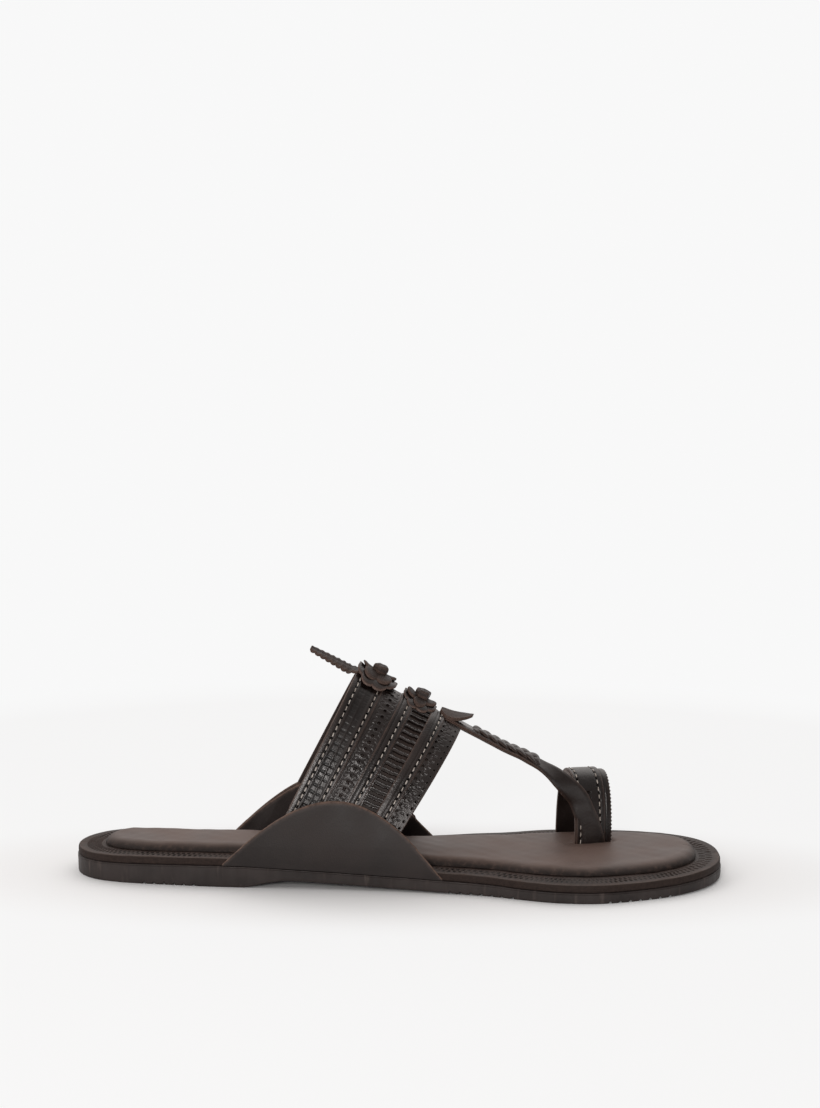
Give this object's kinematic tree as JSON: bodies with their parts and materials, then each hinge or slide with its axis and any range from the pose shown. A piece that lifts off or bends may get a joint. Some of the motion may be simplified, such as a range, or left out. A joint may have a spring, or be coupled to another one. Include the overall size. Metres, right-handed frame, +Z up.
{
  "type": "leather sandal",
  "caption": "Leather sandal with a tooled instep band held in side flaps, a braided strap to a toe ring, layered rosettes, a padded footbed and a thin rubber sole with a low heel.",
  "frame": {"origin": "on the floor, at the middle of the sole's length and width", "axes": "+X towards the toe, +Y towards the big-toe side (medial), +Z up"},
  "size_m": [0.2861, 0.0958, 0.0998],
  "materials": {
    "rubber": "matte dark brown rubber",
    "board_leather": "satin dark brown leather with a dark edge",
    "sock_leather": "smooth satin dark brown leather",
    "black_leather": "tooled satin brown-black leather",
    "edge_leather": "brown-black leather with cut edges"
  },
  "bodies": {
    "root": {"outsole": "rubber", "insole_board": "board_leather", "insole_pad": "sock_leather", "upper": "black_leather", "side_flap_lateral": "black_leather", "side_flap_medial": "black_leather", "tail_leaf": "edge_leather", "rosette_rear_plate": "black_leather", "rosette_rear_petals": "black_leather", "rosette_rear_knob": "edge_leather", "rosette_front_plate": "black_leather", "rosette_front_petals": "black_leather", "rosette_front_knob": "edge_leather", "front_leaf": "edge_leather"}
  },
  "joints": []
}
